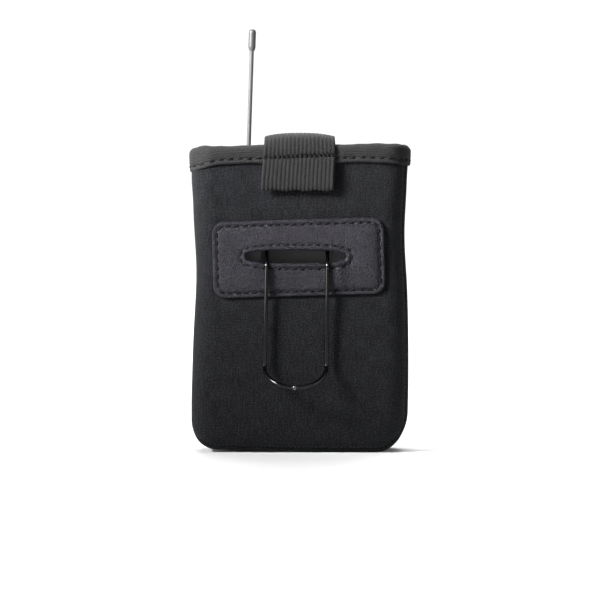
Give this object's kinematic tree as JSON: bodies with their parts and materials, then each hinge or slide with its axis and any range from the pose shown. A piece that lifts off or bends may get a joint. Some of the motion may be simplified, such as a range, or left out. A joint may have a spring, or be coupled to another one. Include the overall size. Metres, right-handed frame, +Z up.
{
  "type": "wireless guitar transmitter",
  "caption": "Slim belt-pack radio transmitter in a sewn neoprene pouch with elastic closure strap, slotted patch, bent wire belt clip and whip aerial.",
  "frame": {"origin": "middle of the flat base that the pouch stands on", "axes": "+Z up along the aerial, +X to the right and +Y away when the pouch is seen from behind, where its belt clip is; the clip faces -Y"},
  "size_m": [0.077, 0.045, 0.1502],
  "materials": {
    "neoprene": "matt knitted neoprene",
    "elastic_binding": "ribbed elastic tape",
    "elastic_webbing": "ribbed elastic webbing",
    "synthetic_leather": "fine-grained satin",
    "hook_and_loop": "hook and loop pile",
    "black_wire": "gloss black",
    "case_plastic": "fine texture",
    "top_plate_plastic": "satin",
    "steel": "plated",
    "window": "clear gloss",
    "cell_wrap": "printed wrap, left plain",
    "nickel_contact": "nickel",
    "circuit_board": "solder mask",
    "component_black": "moulded",
    "led_lens": "clear",
    "control_rubber": "matt",
    "control_plastic": "satin",
    "plated_metal": "nickel plate",
    "antenna_coat": "satin sleeve"
  },
  "bodies": {
    "pouch_and_pack": {"pouch_back_panel": "neoprene", "pouch_front_panel": "neoprene", "mouth_binding": "elastic_binding", "strap_tail": "elastic_webbing", "clip_slot_patch": "synthetic_leather", "loop_tape": "hook_and_loop", "pack_rear_shell": "case_plastic", "pack_front_shell": "case_plastic", "battery_door": "case_plastic", "door_latch": "case_plastic", "battery_tray": "case_plastic", "jack_housing": "case_plastic", "top_plate": "top_plate_plastic", "clip_bracket": "top_plate_plastic", "bracket_screws": "steel", "case_screws": "steel", "door_hinge_pin": "steel", "display_window": "window", "battery_left": "cell_wrap", "battery_right": "cell_wrap", "upper_contacts": "nickel_contact", "lower_contact": "nickel_contact", "jack_contacts": "nickel_contact", "rf_shield_can": "nickel_contact", "main_board": "circuit_board", "control_board": "circuit_board", "main_chips": "component_black", "board_connector": "component_black", "power_switch": "component_black", "mute_switch": "component_black", "lcd_module": "component_black", "status_led": "led_lens", "antenna_base": "control_rubber", "antenna_tip": "control_plastic", "jack_bush": "plated_metal", "jack_nut": "plated_metal", "antenna_socket": "plated_metal", "antenna_whip": "antenna_coat"},
    "clip": {"belt_clip": "black_wire"},
    "strap": {"closure_strap": "elastic_webbing", "hook_tape": "hook_and_loop"},
    "power_button": {"power_button": "control_rubber"},
    "mute_slider": {"mute_slider": "control_plastic"}
  },
  "joints": [
    {"name": "clip_hinge", "type": "hinge", "parent": "pouch_and_pack", "child": "clip", "pos_m": [-0.001, -0.0093, 0.08], "axis": [-1, 0, 0], "range_deg": [0, 10], "stiffness_Nm_per_rad": 1.2, "springref_deg": -2.86},
    {"name": "strap_peel", "type": "hinge", "parent": "pouch_and_pack", "child": "strap", "pos_m": [-0.0005, -0.01585, 0.1054], "axis": [1, 0, 0], "range_deg": [0, 120]},
    {"name": "power_button_press", "type": "slide", "parent": "pouch_and_pack", "child": "power_button", "axis": [0, 0, -1], "range_m": [0, 0.0008], "stiffness_N_per_m": 1500, "springref_m": -0.0003},
    {"name": "mute_slide", "type": "slide", "parent": "pouch_and_pack", "child": "mute_slider", "axis": [1, 0, 0], "range_m": [-0.002, 0.002]}
  ]
}
